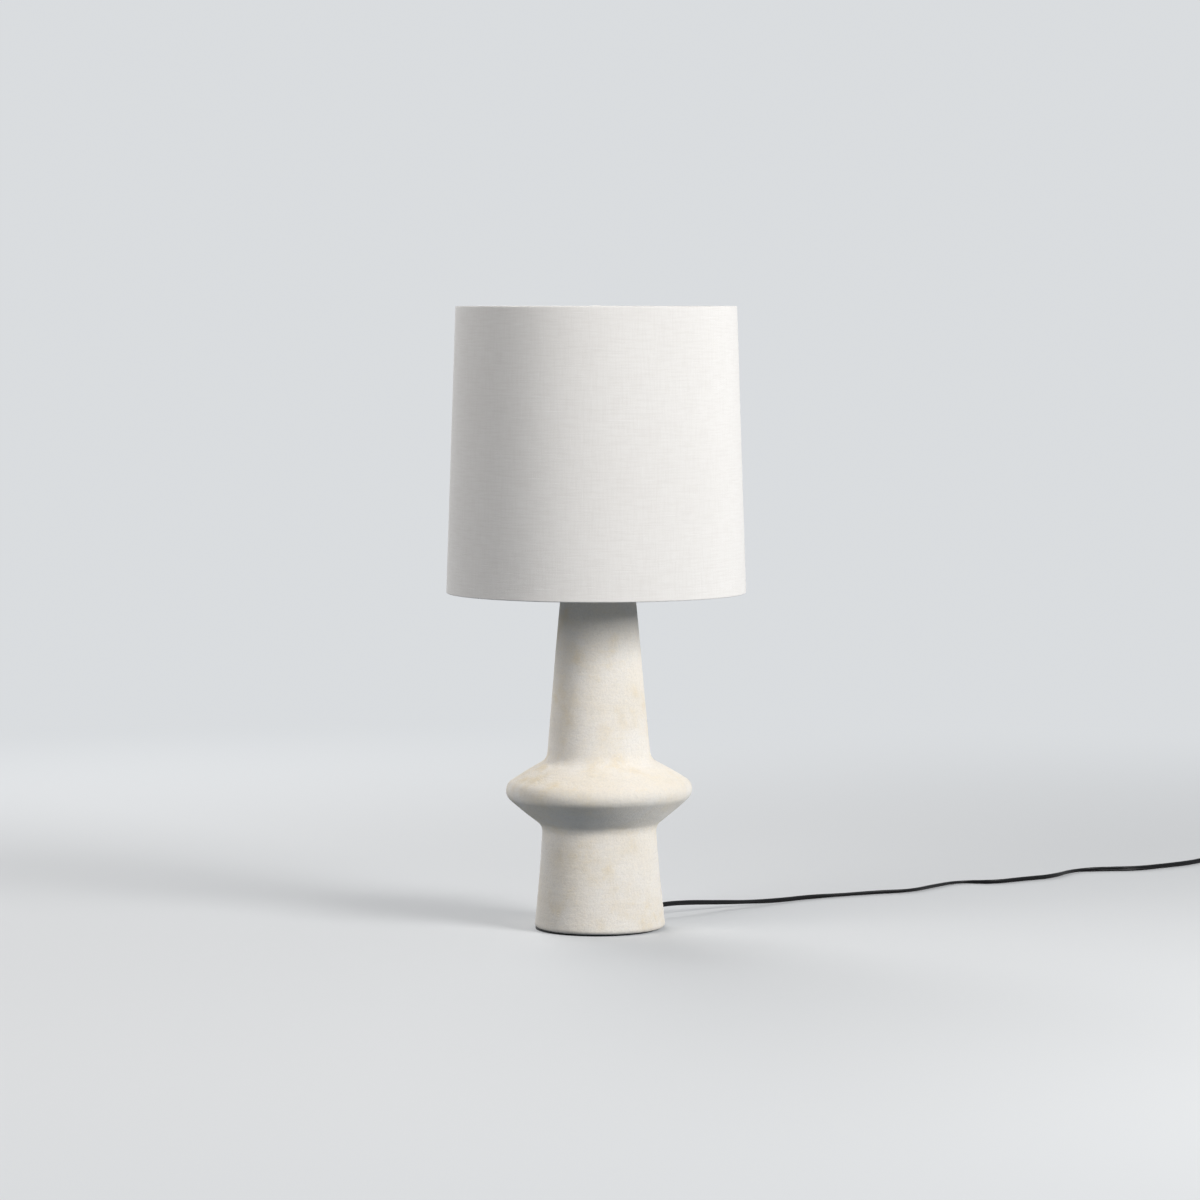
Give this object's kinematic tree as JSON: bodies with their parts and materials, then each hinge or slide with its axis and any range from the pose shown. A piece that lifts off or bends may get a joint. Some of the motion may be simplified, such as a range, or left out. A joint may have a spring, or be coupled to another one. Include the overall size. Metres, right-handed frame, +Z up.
{
  "type": "table lamp",
  "caption": "Table lamp with a hollow cast base with a flared ring, a tapered drum shade on a harp and spider, a screw bulb, a turn-knob switch and a flat lead with a plug.",
  "frame": {"origin": "on the standing surface, under the centre of the foot", "axes": "+Z up along the lamp's axis, -Y towards the front, where the switch knob points; the lead leaves at the back right"},
  "size_m": [1.0898, 0.8297, 0.74],
  "materials": {
    "black_felt": "felt",
    "cast_plaster": "matt, hand-finished",
    "black_rubber": "soft matt",
    "black_cord": "satin flexible jacket",
    "zinc_steel": "zinc plated",
    "polished_brass": "polished, lacquered",
    "nickel_steel": "satin nickel",
    "insulating_paper": "pressed fibre",
    "black_phenolic": "moulded",
    "spring_brass": "bare",
    "copper_lead": "thin insulated wire",
    "knob_plastic": "moulded",
    "cap_nickel": "rolled thread",
    "black_glass": "vitreous",
    "solder": "dull",
    "bulb_plastic": "satin white",
    "board_aluminium": "white coated",
    "frosted_globe": "frosted",
    "natural_linen": "fine slubbed weave",
    "shade_sheet": "white styrene",
    "white_wire": "white coated",
    "tie_plastic": "plastic-coated wire tie",
    "plug_vinyl": "moulded vinyl"
  },
  "bodies": {
    "lamp": {"foot_pad": "black_felt", "base_shell": "cast_plaster", "strain_relief": "black_rubber", "inner_cord": "black_cord", "threaded_rod": "zinc_steel", "bottom_washer": "zinc_steel", "bottom_nut": "zinc_steel", "vase_cap": "polished_brass", "neck_spacer": "polished_brass", "lock_nut": "zinc_steel", "harp_saddle": "nickel_steel", "harp_loop": "nickel_steel", "socket_cap": "polished_brass", "socket_shell": "polished_brass", "socket_liner": "insulating_paper", "socket_core": "black_phenolic", "thread_shell": "spring_brass", "centre_contact": "spring_brass", "terminal_screws": "spring_brass", "lead_wires": "copper_lead", "cord_tube": "black_cord", "cord_coil": "black_cord", "coil_tie": "tie_plastic", "plug_body": "plug_vinyl", "plug_blades": "spring_brass"},
    "switch": {"switch_shaft": "zinc_steel", "switch_knob": "knob_plastic"},
    "sleeve_right": {"sleeve_right": "nickel_steel"},
    "sleeve_left": {"sleeve_left": "nickel_steel"},
    "bulb_lift": {"bulb_tip": "solder"},
    "bulb": {"bulb_insulator": "black_glass", "bulb_screw_cap": "cap_nickel", "bulb_collar": "bulb_plastic", "bulb_board": "board_aluminium", "bulb_globe": "frosted_globe"},
    "shade": {"harp_stud": "nickel_steel", "shade_fabric": "natural_linen", "shade_liner": "shade_sheet", "top_hoop": "white_wire", "bottom_hoop": "white_wire", "spider": "white_wire"},
    "finial_lift": {"finial_foot": "polished_brass"},
    "finial": {"finial_knob": "polished_brass"}
  },
  "joints": [
    {"name": "switch_turn", "type": "hinge", "parent": "lamp", "child": "switch", "pos_m": [0, -0.026, 0.494], "axis": [0, -1, 0], "continuous": true},
    {"name": "sleeve_right_slide", "type": "slide", "parent": "lamp", "child": "sleeve_right", "axis": [0, 0, 1], "range_m": [0, 0.015]},
    {"name": "sleeve_left_slide", "type": "slide", "parent": "lamp", "child": "sleeve_left", "axis": [0, 0, 1], "range_m": [0, 0.015]},
    {"name": "bulb_rise", "type": "slide", "parent": "lamp", "child": "bulb_lift", "axis": [0, 0, 1], "range_m": [0, 0.01814]},
    {"name": "bulb_unscrew", "type": "hinge", "parent": "bulb_lift", "child": "bulb", "pos_m": [0, 0, 0.52], "axis": [0, 0, 1], "range_deg": [0, 1800]},
    {"name": "shade_turn", "type": "hinge", "parent": "lamp", "child": "shade", "pos_m": [0, 0, 0.71], "axis": [0, 0, 1], "continuous": true},
    {"name": "finial_rise", "type": "slide", "parent": "shade", "child": "finial_lift", "axis": [0, 0, 1], "range_m": [0, 0.00941]},
    {"name": "finial_unscrew", "type": "hinge", "parent": "finial_lift", "child": "finial", "pos_m": [0, 0, 0.72], "axis": [0, 0, 1], "range_deg": [0, 3600]}
  ],
  "couplings": [
    {"joint": "bulb_unscrew", "follows": "bulb_rise", "rad_per_m": 1731.6},
    {"joint": "finial_unscrew", "follows": "finial_rise", "rad_per_m": 6679}
  ]
}
